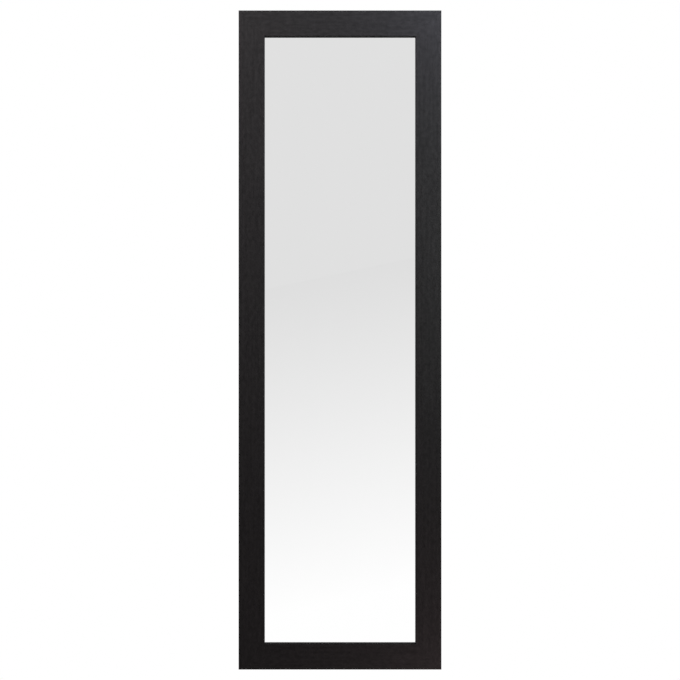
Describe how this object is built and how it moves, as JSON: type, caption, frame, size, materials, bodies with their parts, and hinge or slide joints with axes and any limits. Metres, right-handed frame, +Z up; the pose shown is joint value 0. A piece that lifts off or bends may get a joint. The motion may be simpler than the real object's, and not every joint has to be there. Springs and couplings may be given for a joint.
{
  "type": "framed wall mirror",
  "caption": "Tall rectangular wall mirror in a flat dark wood-effect frame with mitred corners, hung by swinging D-rings on folded strap hangers.",
  "frame": {"origin": "on the wall plane, midway between the two hooks that carry the mirror when it hangs upright, where the bows of the upright D-rings sit on them", "axes": "+X to the viewer's right, +Y from the viewer to the wall, +Z up"},
  "size_m": [0.4, 0.026, 1.3],
  "materials": {
    "frame_foil": "satin dark wood-effect foil on MDF",
    "silvered_glass": "polished silvered float glass",
    "hardboard": "brown hardboard, smooth side out",
    "zinc_steel": "bright zinc-plated steel",
    "bumper_rubber": "matt black rubber"
  },
  "bodies": {
    "frame": {"frame_top_rail": "frame_foil", "frame_bottom_rail": "frame_foil", "frame_left_stile": "frame_foil", "frame_right_stile": "frame_foil", "mirror_pane": "silvered_glass", "backing_board": "hardboard", "corner_v_nails": "zinc_steel", "retaining_tabs": "zinc_steel", "portrait_hanger_left": "zinc_steel", "portrait_hanger_right": "zinc_steel", "landscape_hanger_top": "zinc_steel", "landscape_hanger_bottom": "zinc_steel", "hanger_screws": "zinc_steel", "wall_bumper_top_left": "bumper_rubber", "wall_bumper_top_right": "bumper_rubber", "wall_bumper_bottom_left": "bumper_rubber", "wall_bumper_bottom_right": "bumper_rubber"},
    "ring_upright_left": {"portrait_ring_left": "zinc_steel"},
    "ring_upright_right": {"portrait_ring_right": "zinc_steel"},
    "ring_sideways_top": {"landscape_ring_top": "zinc_steel"},
    "ring_sideways_bottom": {"landscape_ring_bottom": "zinc_steel"}
  },
  "joints": [
    {"name": "upright_left_swing", "type": "hinge", "parent": "frame", "child": "ring_upright_left", "pos_m": [-0.178, -0.0034, -0.0135], "axis": [-1, 0, 0], "range_deg": [0, 178]},
    {"name": "upright_right_swing", "type": "hinge", "parent": "frame", "child": "ring_upright_right", "pos_m": [0.178, -0.0034, -0.0135], "axis": [-1, 0, 0], "range_deg": [0, 178]},
    {"name": "sideways_top_swing", "type": "hinge", "parent": "frame", "child": "ring_sideways_top", "pos_m": [-0.0865, -0.0034, 0.178], "axis": [0, 0, -1], "range_deg": [0, 178]},
    {"name": "sideways_bottom_swing", "type": "hinge", "parent": "frame", "child": "ring_sideways_bottom", "pos_m": [-0.0865, -0.0034, -1.078], "axis": [0, 0, -1], "range_deg": [0, 178]}
  ]
}
